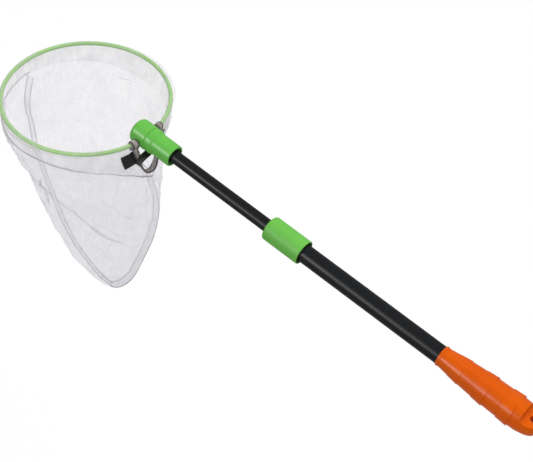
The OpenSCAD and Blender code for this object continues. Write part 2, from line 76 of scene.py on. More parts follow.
@dataclass
class Nodes:
    """A node tree with short ways to add nodes and links.

    Args:
        tree: The material's or group's node tree.
    """

    tree: bpy.types.NodeTree

    def add(self, kind: str, **values: object) -> Node:
        """Adds a node and sets its properties.

        Args:
            kind: The node's type name.
            values: Properties to set on it.

        Returns:
            The new node.
        """
        node = self.tree.nodes.new(kind)
        for name, value in values.items():
            setattr(node, name, value)
        return node

    def link(self, source: Socket, target: Socket) -> None:
        """Links an output to an input."""
        self.tree.links.new(source, target)

    def math(self, operation: str, *inputs: Socket | float, clamp: bool = False) -> Socket:
        """Adds a Math node.

        Args:
            operation: Its operation.
            inputs: Sockets or plain numbers, in order.
            clamp: Whether the result is kept from 0 to 1.

        Returns:
            The node's output.
        """
        node = self.add("ShaderNodeMath", operation=operation, use_clamp=clamp)
        for socket, value in zip(node.inputs, inputs):
            if isinstance(value, (int, float)):
                socket.default_value = value
            else:
                self.link(value, socket)
        return node.outputs[0]

    def ramp(self, factor: Socket, low: float, high: float, start: float = 0.0, end: float = 1.0) -> Socket:
        """Adds a Map Range node that turns low..high into start..end, clamped.

        Returns:
            The node's output.
        """
        node = self.add("ShaderNodeMapRange", clamp=True)
        self.link(factor, node.inputs["Value"])
        for name, value in (("From Min", low), ("From Max", high), ("To Min", start), ("To Max", end)):
            node.inputs[name].default_value = value
        return node.outputs["Result"]

    def mix(self, factor: Socket, a: Socket, b: Socket) -> Socket:
        """Adds a colour Mix node.

        Returns:
            The mixed colour.
        """
        node = self.add("ShaderNodeMix", data_type="RGBA")
        self.link(factor, node.inputs[0])
        self.link(a, node.inputs[6])
        self.link(b, node.inputs[7])
        return node.outputs[2]

    def noise(self, vector: Socket, scale: float, detail: float = 2.0, stretch: Vector | None = None) -> Socket:
        """Adds a Noise texture, with a Mapping node before it where it is stretched.

        Args:
            vector: The coordinates.
            scale: Its scale, per metre.
            detail: Its detail.
            stretch: Scale of the coordinates along X, Y and Z, if any.

        Returns:
            The texture's factor.
        """
        if stretch is not None:
            mapping = self.add("ShaderNodeMapping")
            mapping.inputs["Scale"].default_value = stretch
            self.link(vector, mapping.inputs["Vector"])
            vector = mapping.outputs[0]
        texture = self.add("ShaderNodeTexNoise")
        texture.inputs["Scale"].default_value = scale
        texture.inputs["Detail"].default_value = detail
        self.link(vector, texture.inputs["Vector"])
        return texture.outputs["Fac"]

    def split_uv(self) -> Node:
        """Adds nodes that give the cloth's own UV as X and Y."""
        split = self.add("ShaderNodeSeparateXYZ")
        self.link(self.add("ShaderNodeTexCoord").outputs["UV"], split.inputs[0])
        return split


def shader_group(name: str, inputs: dict[str, object], outputs: Sequence[str]) -> tuple[Nodes, Sockets, Sockets]:
    """Makes an empty shader group with named sockets, a colour where a default has four numbers or the name is Color.

    Args:
        name: The group's name.
        inputs: Socket name to its default.
        outputs: Socket names.

    Returns:
        The group's Nodes, the sockets that give its inputs and those that take its outputs.
    """
    tree = bpy.data.node_groups.new(name, "ShaderNodeTree")
    for socket, default in inputs.items():
        kind = "NodeSocketColor" if isinstance(default, tuple) else "NodeSocketFloat"
        tree.interface.new_socket(socket, in_out="INPUT", socket_type=kind).default_value = default
    for socket in outputs:
        kind = "NodeSocketColor" if socket == "Color" else "NodeSocketFloat"
        tree.interface.new_socket(socket, in_out="OUTPUT", socket_type=kind)
    nodes = Nodes(tree)
    return nodes, nodes.add("NodeGroupInput").outputs, nodes.add("NodeGroupOutput").inputs


def moulding_group() -> None:
    """Moulded or coated surface: slow colour drift, fine grain and handling scuffs.

    It gives Color, Roughness and Height.
    """
    n, given, result = shader_group(
        "MouldedSurface",
        {
            "Tint": (0.5, 0.5, 0.5, 1),
            "Shade": (0.4, 0.4, 0.4, 1),
            "Rubbed": (0.6, 0.6, 0.6, 1),
            "Base Roughness": 0.3,
            "Scuffs": 0.3,
            "Grain": 0.3,
        },
        ("Color", "Roughness", "Height"),
    )
    place = n.add("ShaderNodeTexCoord").outputs["Object"]
    drift = n.ramp(n.noise(place, 22, 3), 0.38, 0.66)
    colour = n.mix(n.math("MULTIPLY", drift, 0.45), given["Tint"], given["Shade"])
    lengthwise = n.noise(place, 60, 4, Vector((0.5, 14, 14)))
    crosswise = n.noise(place, 190, 3, Vector((6, 0.8, 0.8)))
    scuffs = n.math("MAXIMUM", n.ramp(lengthwise, 0.62, 0.74), n.ramp(crosswise, 0.66, 0.78))
    handled = n.ramp(n.noise(place, 34, 2), 0.46, 0.62)
    worn = n.math("MULTIPLY", n.math("MULTIPLY", scuffs, handled), given["Scuffs"])
    colour = n.mix(n.math("MULTIPLY", worn, 0.6), colour, given["Rubbed"])
    grain = n.noise(place, 1500, 3)
    n.link(colour, result["Color"])
    rough = n.math("ADD", given["Base Roughness"], n.math("MULTIPLY", worn, 0.35))
    rough = n.math("ADD", rough, n.math("MULTIPLY", n.math("SUBTRACT", drift, 0.5), 0.06))
    n.link(n.math("ADD", rough, 0.0, clamp=True), result["Roughness"])
    height = n.math("MULTIPLY", grain, given["Grain"])
    n.link(n.math("SUBTRACT", height, n.math("MULTIPLY", worn, 0.5)), result["Height"])


def net_weave_group() -> None:
    """Fine knitted net: two families of diagonal threads over a cloth's own UV, with uneven cover.

    It gives Cover (0 in a hole to 1 on a thread), Tone and Height.
    """
    n, given, result = shader_group(
        "NetWeave",
        {
            "Pitch": 0.0014,
            "Hole Cover": 0.3,
            "Thread Cover": 0.6,
            "Unevenness": 0.3,
        },
        ("Cover", "Tone", "Height"),
    )
    split = n.split_uv()
    turns = n.math("DIVIDE", 2 * math.pi, given["Pitch"])
    families = []
    for operation in ("ADD", "SUBTRACT"):
        along = n.math(operation, split.outputs["X"], n.math("MULTIPLY", split.outputs["Y"], 0.75))
        families.append(n.ramp(n.math("COSINE", n.math("MULTIPLY", along, turns)), 0.1, 0.9))
    thread = n.math("MAXIMUM", families[0], families[1])
    cover = n.add("ShaderNodeMix", data_type="FLOAT")
    n.link(thread, cover.inputs[0])
    n.link(given["Hole Cover"], cover.inputs[2])
    n.link(given["Thread Cover"], cover.inputs[3])
    place = n.add("ShaderNodeTexCoord").outputs["Object"]
    cloudy = n.math("SUBTRACT", n.noise(place, 46, 5), 0.5)
    streaks = n.math("SUBTRACT", n.noise(place, 30, 3, Vector((5, 5, 0.8))), 0.5)
    uneven = n.math("MULTIPLY", n.math("ADD", cloudy, streaks), given["Unevenness"])
    n.link(n.math("ADD", cover.outputs[0], uneven, clamp=True), result["Cover"])
    n.link(n.ramp(cloudy, -0.25, 0.25), result["Tone"])
    n.link(thread, result["Height"])


def ribbed_tape_group() -> None:
    """Woven tape: ribs across its length on the tape's own UV, darker edges and faded fibres; the darker edges are
    partly a real selvedge and partly painted shade.

    It gives Color and Height.
    """
    n, given, result = shader_group(
        "RibbedTape",
        {
            "Thread": (0.2, 0.2, 0.2, 1),
            "Gap": (0.05, 0.05, 0.05, 1),
            "Rib": 0.001,
            "Width": 0.008,
            "Selvedge": 0.8,
        },
        ("Color", "Height"),
    )
    split = n.split_uv()
    turns = n.math("DIVIDE", 2 * math.pi, given["Rib"])
    ribs = n.ramp(n.math("SINE", n.math("MULTIPLY", split.outputs["X"], turns)), -0.9, 0.7, 0.45, 1.0)
    picks = n.ramp(n.math("SINE", n.math("MULTIPLY", split.outputs["Y"], n.math("MULTIPLY", turns, 1.3))), -1, 0.4)
    weave = n.math("MULTIPLY", ribs, n.math("ADD", n.math("MULTIPLY", picks, 0.35), 0.65))
    fade = n.noise(n.add("ShaderNodeTexCoord").outputs["Object"], 420, 4)
    shown = n.math("MULTIPLY", weave, n.ramp(fade, 0.25, 0.7, 0.55, 1.0))
    # Both long edges are darkened: partly the real selvedge, partly painted shade standing for the shadow at the cuff
    # tape's edge beside the head.
    aside = n.math("ABSOLUTE", n.math("SUBTRACT", n.math("DIVIDE", split.outputs["Y"], given["Width"]), 0.5))
    edge = n.math("MULTIPLY", n.ramp(aside, 0.2, 0.3), given["Selvedge"])
    shown = n.math("MULTIPLY", shown, n.math("SUBTRACT", 1.0, edge))
    n.link(n.mix(shown, given["Gap"], given["Thread"]), result["Color"])
    n.link(weave, result["Height"])


# ---------------------------------------------------------------- finishes


def plain_colour(red: float, green: float, blue: float) -> Quad:
    """Turns a display colour (0 to 255) into the linear colour that a shader takes."""
    linear = [((c / 255 + 0.055) / 1.055) ** 2.4 if c > 10.3 else c / 255 / 12.92 for c in (red, green, blue)]
    return (*linear, 1.0)


def new_material(name: str) -> tuple[Material, Nodes, Node]:
    """Makes a material, and gives it with its Nodes and its shader."""
    material = bpy.data.materials.new(name)
    material.use_nodes = True
    n = Nodes(material.node_tree)
    return material, n, n.tree.nodes["Principled BSDF"]


@dataclass(frozen=True)
class Finish:
    """What every finish shares.

    Args:
        name: The material's name.
    """

    name: str

    def start(self, group: str, values: dict[str, object], bump: Point) -> tuple[Material, Nodes, Node, Node]:
        """Makes a material whose pattern and relief come from a shader group.

        Args:
            group: The group's name.
            values: Values of its inputs.
            bump: Strength of the relief, and its height in metres.

        Returns:
            The material, its Nodes, the group's node and the shader.
        """
        material, n, shader = new_material(self.name)
        pattern = n.add("ShaderNodeGroup", node_tree=bpy.data.node_groups[group])
        for socket, value in values.items():
            pattern.inputs[socket].default_value = value
        relief = n.add("ShaderNodeBump")
        relief.inputs["Strength"].default_value, relief.inputs["Distance"].default_value = bump
        n.link(pattern.outputs["Height"], relief.inputs["Height"])
        n.link(relief.outputs["Normal"], shader.inputs["Normal"])
        return material, n, pattern, shader


@dataclass(frozen=True)
class Moulded(Finish):
    """A moulded plastic, coated tube or metal finish.

    Args:
        tint: Main display colour.
        shade: Second display colour that it drifts to.
        rubbed: Display colour where it is rubbed.
        roughness: Roughness of the clean surface.
        scuffs: How scuffed it is.
        grain: Strength of the fine grain.
        gloss: Specular level, 0.5 for a bare glossy plastic.
        metallic: 1 for bare metal.
        relief: Height of the grain, in metres.
    """

    tint: Triple
    shade: Triple
    rubbed: Triple
    roughness: float = 0.3
    scuffs: float = 0.3
    grain: float = 0.3
    gloss: float = 0.3
    metallic: float = 0.0
    relief: float = 0.000008

    def build(self) -> Material:
        """Makes the material."""
        values = {
            "Tint": plain_colour(*self.tint), "Shade": plain_colour(*self.shade), "Rubbed": plain_colour(*self.rubbed),
            "Base Roughness": self.roughness, "Scuffs": self.scuffs, "Grain": self.grain,
        }
        material, n, surface, shader = self.start("MouldedSurface", values, (0.6, self.relief))
        n.link(surface.outputs["Color"], shader.inputs["Base Color"])
        n.link(surface.outputs["Roughness"], shader.inputs["Roughness"])
        shader.inputs["Specular IOR Level"].default_value = self.gloss
        shader.inputs["Metallic"].default_value = self.metallic
        return material


@dataclass(frozen=True)
class NetCloth(Finish):
    """Translucent knitted net.

    Args:
        thread: Display colour of the thread.
        creased: Display colour in the denser places.
        hole: Cover inside a hole.
        full: Cover on a thread.
        uneven: How much the cover drifts.
        pitch: Distance between threads, in metres.
    """

    thread: Triple
    creased: Triple
    hole: float = 0.3
    full: float = 0.6
    uneven: float = 0.3
    pitch: float = 0.0014

    def build(self) -> Material:
        """Makes the material."""
        values = {
            "Pitch": self.pitch, "Hole Cover": self.hole, "Thread Cover": self.full, "Unevenness": self.uneven,
        }
        material, n, weave, shader = self.start("NetWeave", values, (0.35, 0.00012))
        colours = n.add("ShaderNodeMix", data_type="RGBA")
        colours.inputs[6].default_value = plain_colour(*self.thread)
        colours.inputs[7].default_value = plain_colour(*self.creased)
        n.link(weave.outputs["Tone"], colours.inputs[0])
        n.link(colours.outputs[2], shader.inputs["Base Color"])
        n.link(weave.outputs["Cover"], shader.inputs["Alpha"])
        shader.inputs["Roughness"].default_value = 0.7
        shader.inputs["Specular IOR Level"].default_value = 0.25
        return material


@dataclass(frozen=True)
class WovenTape(Finish):
    """Ribbed woven tape or satin ribbon.

    Args:
        thread: Display colour of the thread.
        gap: Display colour between the threads.
        rib: Distance between ribs, in metres.
        width: Width of the tape, in metres.
        selvedge: How dark its edges are; partly a real selvedge and partly painted shade.
        roughness: Its roughness.
        sheen: Its sheen.
    """

    thread: Triple
    gap: Triple
    rib: float = 0.0009
    width: float = 0.008
    selvedge: float = 0.8
    roughness: float = 0.75
    sheen: float = 0.15

    def build(self) -> Material:
        """Makes the material."""
        values = {
            "Thread": plain_colour(*self.thread), "Gap": plain_colour(*self.gap),
            "Rib": self.rib, "Width": self.width, "Selvedge": self.selvedge,
        }
        material, n, tape, shader = self.start("RibbedTape", values, (0.8, 0.0002))
        n.link(tape.outputs["Color"], shader.inputs["Base Color"])
        shader.inputs["Roughness"].default_value = self.roughness
        shader.inputs["Sheen Weight"].default_value = self.sheen
        return material


@dataclass
class Finishes:
    """Every finish on the net, built once."""

    made: dict[str, Material] = field(default_factory=dict)

    def build(self) -> None:
        """Builds the shader groups, then each material under its slot's name."""
        for group in (moulding_group, net_weave_group, ribbed_tape_group):
            group()
        recipes = {
            "grip_plastic": Moulded(
                "OrangeGrip", (220, 92, 0), (206, 78, 0), (226, 112, 20), 0.3, 0.2, 0.2, 0.12, relief=0.000003),
            "green_plastic": Moulded(
                "GreenPlastic", (106, 190, 80), (94, 178, 68), (140, 216, 110), 0.32, 0.15, 0.2, 0.2, relief=0.000003),
            "satin_green": Moulded(
                "SatinGreen", (108, 188, 78), (92, 172, 64), (136, 212, 108), 0.5, 0.15, 0.3, 0.14, relief=0.000003),
            "tube_black": Moulded(
                "BlackTube", (25, 26, 28), (21, 22, 24), (48, 48, 52), 0.4, 0.2, 0.1, 0.12, relief=0.000001),
            "lock_plastic": Moulded("DarkLockPlastic", (52, 53, 56), (42, 43, 46), (84, 84, 88), 0.42, 0.3, 0.6),
            "white_nylon": Moulded("WhiteNylon", (232, 231, 224), (218, 216, 208), (240, 240, 238), 0.45, 0.2, 0.4),
            "steel": Moulded("BrightSteel", (196, 196, 194), (176, 176, 174), (224, 224, 222), 0.3, 0.4, 0.4, 0.5, 1.0),
            "hoop_green": Moulded("HoopGreen", (132, 200, 52), (118, 186, 46), (160, 214, 92), 0.34, 0.2, 0.3),
            "mesh": NetCloth("BagNet", (250, 247, 255), (240, 237, 246), 0.27, 0.47, 0.16),
            "mesh_casing": NetCloth("CasingNet", (244, 242, 248), (232, 229, 235), 0.18, 0.34, 0.3),
            # One seam in two copies: the dense grey net on the front is the real seam plus painted shade, and the faint
            # copy on the back is painted light.
            "mesh_seam": NetCloth("SeamNet", (204, 200, 202), (186, 182, 184), 0.55, 0.8, 0.3),
            "mesh_strip": NetCloth("StripNet", (246, 244, 252), (236, 233, 241), 0.18, 0.34, 0.3),
            "mesh_hem_painted_light": NetCloth("SeamNetPaintedLight", (242, 240, 246), (232, 229, 235), 0.05, 0.12, 0.1),
            "thread": Moulded("GreyThread", (160, 156, 154), (140, 136, 134), (176, 172, 172), 0.8, 0.2, 1.0, 0.1),
            "dark_thread": Moulded("SeamThread", (138, 134, 130), (120, 116, 112), (156, 152, 150), 0.8, 0.2, 1.0, 0.1),
            "grey_tape": WovenTape("GreyTape", (206, 196, 192), (40, 36, 36), 0.0010, width=0.0082),
            "black_tape": WovenTape("BlackRibbon", (20, 19, 20), (5, 5, 6), 0.0007, 0.008, 0.3, 0.5, 0.0),
        }
        for slot, recipe in recipes.items():
            self.made[slot] = recipe.build()

    def __getitem__(self, slot: str) -> Material:
        """Gives the material of a slot."""
        return self.made[slot]


# ---------------------------------------------------------------- mesh making


def placed(name: str, data: bpy.types.ID) -> Object:
    """Makes an object of the data and puts it in the scene."""
    obj = bpy.data.objects.new(name, data)
    bpy.context.scene.collection.objects.link(obj)
    return obj


@dataclass
class Piece:
    """A finished mesh piece on its way into the scene, where it rides on the net.

    Args:
        name: Its name.
        slot: The record's material slot; not used.
    """

    name: str
    slot: str

    def finish(self, mesh: bmesh.types.BMesh, material: Material, closed: bool = False) -> Object:
        """Turns the bmesh into an object that rides on the net.

        Args:
            mesh: The shape, in metres in the row frame.
            material: Its finish.
            closed: Whether it is a closed shell, whose normals are then recalculated.

        Returns:
            The object.
        """
        if closed:
            bmesh.ops.recalc_face_normals(mesh, faces=mesh.faces)
        data = bpy.data.meshes.new(self.name)
        mesh.to_mesh(data)
        mesh.free()
        data.shade_smooth()
        data.materials.append(material)
        obj = placed(self.name, data)
        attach(obj, "net")
        return obj


def laid_grid(columns: int, rows: int, place: Place, width: float, height: float) -> bmesh.types.BMesh:
    """Lays a grid of faces over a surface and unwraps it in metres.

    Args:
        columns: Faces along the first parameter.
        rows: Faces along the second.
        place: Gives the point for two parameters from 0 to 1.
        width: Length in the UV of the first parameter.
        height: Length in the UV of the second.

    Returns:
        The bmesh.
    """
    mesh = bmesh.new()
    bmesh.ops.create_grid(mesh, x_segments=columns, y_segments=rows, size=0.5)
    layer = mesh.loops.layers.uv.new("UVMap")
    for face in mesh.faces:
        for loop in face.loops:
            loop[layer].uv = ((loop.vert.co.x + 0.5) * width, (loop.vert.co.y + 0.5) * height)
    for vertex in mesh.verts:
        vertex.co = place(vertex.co.x + 0.5, vertex.co.y + 0.5)
    return mesh


def ruffle(x: float, y: float, z: float) -> float:
    """Gives smooth noise, from about -1 to 1, at a place."""
    return noise.noise(Vector((x, y, z)))


def smooth_path(points: Sequence[Vector], u: float) -> Vector:
    """Gives the point at a share of a smooth path through the points."""
    last = len(points) - 1
    k = min(int(u * last), last - 1)
    t = u * last - k
    a, b, c, d = (points[min(max(i, 0), last)] for i in (k - 1, k, k + 1, k + 2))
    return 0.5 * (2 * b + (c - a) * t + (2 * a - 5 * b + 4 * c - d) * t * t + (3 * b - a - 3 * c + d) * t**3)


def path_frame(points: Sequence[Vector], u: float, across: Vector) -> tuple[Vector, Vector, Vector]:
    """Gives a place on a path with the directions across and out of a ribbon there.

    Args:
        points: The path.
        u: Share of the path.
        across: Rough direction of the ribbon's width.

    Returns:
        The place, the unit vector across and the unit vector out of the ribbon's face.
    """
    here = smooth_path(points, u)
    run = (smooth_path(points, min(u + 0.004, 1)) - smooth_path(points, max(u - 0.004, 0))).normalized()
    out = run.cross(across).normalized()
    return here, out.cross(run).normalized(), out


def path_length(points: Sequence[Vector]) -> float:
    """Measures a smooth path through the points."""
    steps = [smooth_path(points, i / 200) for i in range(201)]
    return sum((b - a).length for a, b in zip(steps, steps[1:]))


def stitch_row(name: str, places: Sequence[tuple[Vector, Vector]], size: Point, material: Material) -> None:
    """Makes a row of short stitches on the net, each a slim rounded bead.

    Args:
        name: The piece's name.
        places: Centre and direction of each stitch.
        size: Length and thickness of one.
        material: Its finish.
    """
    mesh = bmesh.new()
    for centre, run in places:
        turn = run.normalized().to_track_quat("Z", "Y").to_matrix().to_4x4()
        form = Matrix.Translation(centre) @ turn @ Matrix.Diagonal((size[1] / 2, size[1] / 2, size[0] / 2, 1))
        bmesh.ops.create_uvsphere(mesh, u_segments=6, v_segments=4, radius=1, matrix=form)
    Piece(name, "mesh").finish(mesh, material, closed=True)


def thicken(obj: Object, thickness: float) -> None:
    """Gives a strip its wall and rounds the wall's edges."""
    wall = obj.modifiers.new("wall", "SOLIDIFY")
    wall.thickness, wall.offset = thickness, 0.0
    edge = obj.modifiers.new("edge", "BEVEL")
    edge.width, edge.segments, edge.limit_method = 0.00022, 2, "ANGLE"


# ---------------------------------------------------------------- hoop, bag and casing


@dataclass(frozen=True)
class HoopForm:
    """The hoop's ring and where it sits on the pole."""

    reach: float = 0.6645
    inner_d: float = 0.203
    rod_d: float = 0.005
    tilt: float = math.radians(5.6)
    drum_r: float = 0.0157
    cuff_gap: float = 0.0006
    cuff_l: float = 0.007

    @property
    def radius(self) -> float:
        """Radius of the rod's centre line."""
        return (self.inner_d + self.rod_d) / 2

    @property
    def neck(self) -> float:
        """Place of the rod's near side along the pole."""
        return self.reach - self.radius

    @property
    def open_angle(self) -> float:
        """Half of the angle left open by the casing at the head."""
        return (self.drum_r + self.cuff_gap + self.cuff_l) / self.radius

    def place(self, x: float, y: float, z: float, tilt: float | None = None) -> Vector:
        """Turns a point of the ring's frame, whose origin is at its near side, into the row frame."""
        t = self.tilt if tilt is None else tilt
        return Vector((self.neck + x * math.cos(t) + z * math.sin(t), y, z * math.cos(t) - x * math.sin(t)))

    def on_rod(self, angle: float, out: float = 0.0, up: float = 0.0) -> Vector:
        """Gives a point near the rod.

        Args:
            angle: Angle from the far side, toward +Y.
            out: Distance outward from the rod's centre line.
            up: Distance above the ring's plane.

        Returns:
            The point in the row frame.
        """
        r = self.radius + out
        return self.place(self.radius + r * math.cos(angle), r * math.sin(angle), up)


@dataclass(frozen=True)
class Crease:
    """A fold in one half of the bag, along a line of angles in degrees and depths.

    Args:
        side: The half that it is in.
        width: Its width.
        height: How far it stands out.
        tuck: How far the cloth laps over itself there.
        line: Its points.
    """

    side: Side
    width: float
    height: float
    tuck: float
    line: tuple[Point, ...]

    def sample(self, angle: float, depth: float, half: float) -> tuple[float, float, Vector]:
        """Measures a place against the fold's line.

        Args:
            angle: Degrees from the far seam.
            depth: Depth below the ring.
            half: Length that one radian stands for there.

        Returns:
            The fold's strength from 0 to 1, the signed distance and the direction across, in metres.
        """
        place = Vector((math.radians(angle) * half, depth))
        best, where, across = 1.0, 0.5, Vector((0, 1))
        for i, (p, q) in enumerate(zip(self.line, self.line[1:])):
            start = Vector((math.radians(p[0]) * half, p[1]))
            run = Vector((math.radians(q[0]) * half, q[1])) - start
            t = min(max((place - start).dot(run) / run.length_squared, 0.0), 1.0)
            gap = place - start - run * t
            if gap.length < abs(best):
                square = Vector((-run.y, run.x)).normalized()
                best, where, across = math.copysign(gap.length, gap.dot(square)), (i + t) / (len(self.line) - 1), square
        return min(1.0, 4 * where, 4 * (1 - where)), best, across


@dataclass
class BagForm:
    """The hanging bag's outline, folds and sag.

    Args:
        hoop: The hoop that it hangs from.
        casing_h: Depth down to which it keeps the ring's outline.
        depth: Depth of its tip.
        point_depth: Depth over which its section comes to a point at the pole side.
        stations: Share of the depth, then the far side, pole side and half depth as shares of the ring's radius.
        creases: Its folds.
        seams: Angle from the head in degrees, and depth of the casing's lower seam there.
        seam_sway: How far the far seam turns aside, in radians.
        shoulder: How far the cloth stands out beside the far seam.
        back_drop: How much lower the casing's seam hangs at the back.
        table: The outline between the stations, worked out once.
    """

    hoop: HoopForm = field(default_factory=HoopForm)
    casing_h: float = 0.026
    depth: float = 0.342
    point_depth: float = 0.034
    stations: tuple[Quad, ...] = (
        (0.00, 1.00, 1.00, 1.000), (0.11, 1.03, 1.070, 0.895), (0.25, 1.06, 1.205, 0.725),
        (0.43, 1.01, 1.170, 0.473), (0.62, 0.76, 1.050, 0.352), (0.80, 0.45, 0.930, 0.253),
        (0.90, 0.19, 0.82, 0.185), (0.97, -0.16, 0.70, 0.099), (1.00, -0.41, 0.60, 0.030),
    )
    creases: tuple[Crease, ...] = (
        Crease(Side.FRONT, 0.0023, 0.0014, 0.0043, (
            (70, 0.068), (78, 0.092), (85, 0.116), (92, 0.140),
            (102, 0.164), (114, 0.185), (132, 0.197), (166, 0.203))),
        Crease(Side.FRONT, 0.0070, 0.0030, 0.0, (
            (82, 0.070), (92, 0.106), (102, 0.138), (118, 0.160), (138, 0.172), (162, 0.178))),
        Crease(Side.FRONT, 0.0020, 0.0008, 0.0026, ((92, 0.060), (84, 0.100), (72, 0.160), (64, 0.220))),
        Crease(Side.FRONT, 0.0018, 0.0008, 0.0014, ((122, 0.075), (128, 0.100), (140, 0.128), (152, 0.138))),
        Crease(Side.FRONT, 0.0018, 0.0006, 0.0016, ((56, 0.030), (60, 0.060), (70, 0.100))),
        Crease(Side.FRONT, 0.0022, 0.0009, 0.0016, ((76, 0.050), (84, 0.072), (96, 0.088), (112, 0.094))),
        Crease(Side.FRONT, 0.0020, 0.0008, 0.0015, ((44, 0.028), (45, 0.060), (40, 0.110))),
        Crease(Side.FRONT, 0.0020, 0.0008, 0.0013, ((30, 0.028), (27, 0.070), (20, 0.120), (22, 0.180))),
        Crease(Side.FRONT, 0.0045, 0.0020, 0.0, ((150, 0.060), (140, 0.120), (128, 0.160))),
        Crease(Side.FRONT, 0.0018, 0.0010, 0.0013, ((100, 0.205), (120, 0.235), (140, 0.270))),
        Crease(Side.BACK, 0.0050, 0.0026, 0.0, ((40, 0.030), (52, 0.100), (66, 0.180), (80, 0.230))),
        Crease(Side.BACK, 0.0020, 0.0008, 0.0024, ((100, 0.045), (106, 0.110), (128, 0.170), (158, 0.200))),
        Crease(Side.BACK, 0.0018, 0.0008, 0.0020, ((60, 0.036), (72, 0.050), (88, 0.048))),
        Crease(Side.BACK, 0.0018, 0.0008, 0.0020, ((112, 0.040), (126, 0.056), (142, 0.062))),
        Crease(Side.BACK, 0.0040, 0.0020, 0.0, ((140, 0.040), (134, 0.090), (120, 0.140))),
    )
    seams: tuple[Point, ...] = (
        (0, 0.0605), (10, 0.0605), (20, 0.0595), (30, 0.0530), (41, 0.0390), (50, 0.0290), (60, 0.0235), (75, 0.0215),
        (100, 0.0225), (130, 0.0215), (155, 0.0230), (180, 0.0220),
    )
    seam_sway: float = 0.105
    shoulder: float = 0.0050
    back_drop: float = 0.0130
    table: list[Quad] = field(default_factory=list)

    def __post_init__(self) -> None:
        """Works out the smooth outline between the stations."""
        points = [Vector(s) for s in self.stations]
        self.table = [tuple(smooth_path(points, i / 600)) for i in range(601)]

    def outline(self, depth: float) -> Quad:
        """Gives the bag's cross-section at a depth below the ring.

        Returns:
            Its far side, pole side and half depth, and its tilt.
        """
        share = min(max((depth - self.casing_h) / (self.depth - self.casing_h), 0.0), 1.0)
        low, high = 0, len(self.table) - 1
        while high - low > 1:
            middle = (low + high) // 2
            low, high = (middle, high) if self.table[middle][0] <= share else (low, middle)
        a, b = self.table[low], self.table[high]
        t = (share - a[0]) / max(b[0] - a[0], 1e-9)
        far, pole, half = (a[i] + (b[i] - a[i]) * t for i in (1, 2, 3))
        r = self.hoop.radius
        return r * (1 + far), r * (1 - pole), max(half * r, 0.003), self.hoop.tilt * (1 - share)

    def surface(self, angle: float, depth: float, out: float = 0.0) -> Vector:
        """Gives a point of the bag's plain surface.

        Args:
            angle: Degrees from the far side, toward +Y.
            depth: Depth below the ring.
            out: Distance outward.

        Returns:
            The point in the row frame.
        """
        far, pole, half, tilt = self.outline(depth)
        a = math.radians(angle)
        a += self.seam_sway * math.exp(-(((depth - 0.068) / 0.045) ** 2)) * (1 + math.cos(a)) / 2
        if math.cos(a) > 0:
            share = min(max((depth - self.casing_h) / (self.depth - self.casing_h), 0.0), 1.0)
            out += self.shoulder * math.sin(math.pi * share**0.8) ** 0.6 * math.sin(2 * a) ** 2
        x = (far + pole) / 2 + ((far - pole) / 2 + out) * math.cos(a)
        point = 1.0 + min(max(depth - self.casing_h, 0.0) / self.point_depth, 1.0) if math.cos(a) < 0 else 1.0
        y = (half + out) * math.copysign(abs(math.sin(a)) ** point, math.sin(a))
        return self.hoop.place(x, y, -depth, tilt)

    def yoke_line(self, angle: float) -> float:
        """Depth of the casing's lower seam at an angle, in degrees from the far side."""
        from_head = abs((angle % 360) - 180)
        k = max(i for i, point in enumerate(self.seams[:-1]) if point[0] <= from_head)
        (a, low), (b, high) = self.seams[k], self.seams[k + 1]
        t = (from_head - a) / (b - a)
        behind = max(0.0, -math.sin(math.radians(angle)))
        drop = self.back_drop * behind * (1 - 0.5 * math.cos(math.radians(from_head)) ** 2)
        return low + (high - low) * t * t * (3 - 2 * t) + drop + 0.0006 * math.sin(math.radians(angle * 7))

    def wrinkle(self, side: Side, angle: float, depth: float) -> float:
        """Adds up the soft waves, the fine wrinkles and the gathers under the casing seam at a place."""
        seed = 11.0 if side is Side.FRONT else 47.0
        below = max(depth - self.yoke_line(side.value * angle), 0.0)
        spot = Vector((math.radians(angle) * 2.4 + seed, depth * 26, seed))
        soft = noise.noise(spot) * 0.0034 + noise.noise(spot * 2.7) * 0.0022
        steep = Vector((math.radians(angle) * 9 + depth * 30, depth * 16, seed))
        ridge = max(1 - abs(noise.noise(steep * 0.8)) * 2, 0.0) ** 6
        near = math.exp(-below / 0.05) + 0.35
        ripple = noise.noise(steep) * 0.0013 + near * (noise.noise(steep * 2.3) * 0.0010 + 0.0018 * ridge)
        pull = 1 + 1.6 * math.exp(-((angle - 45) / 35) ** 2)
        gather = 0.0010 * pull * math.sin(math.radians(angle) * 46 + 4 * noise.noise(spot)) * math.exp(-below / 0.022)
        return soft + ripple + gather

    def cloth(self, side: Side, angle: float, depth: float) -> Vector:
        """Gives a point of the folded cloth, with the angle from 0 at the far seam to 180 at the pole seam."""
        edge = min(1.0, math.sin(math.radians(angle)) * 3.2, max(0.0, (self.depth - depth) / 0.03))
        free = edge * min(1.0, max(0.0, (depth - self.yoke_line(side.value * angle)) / 0.012))
        half = self.outline(depth)[2] + 0.02
        out, shift = self.wrinkle(side, angle, depth), Vector((0, 0))
        for crease in self.creases:
            if crease.side is not side:
                continue
            strength, away, across = crease.sample(angle, depth, half)
            ratio = away / crease.width
            if abs(ratio) > 4:
                continue
            swell = strength * math.exp(-ratio * ratio)
            out += crease.height * swell
            if crease.tuck:
                shift -= across * (crease.tuck * 2.33 * ratio * swell)
                out -= 0.0005 * strength * math.tanh(ratio * 1.5) * math.exp(-ratio * ratio / 6)
        angle += math.degrees(shift.x / half) * free
        return self.surface(side.value * angle, depth + shift.y * free, out * free)


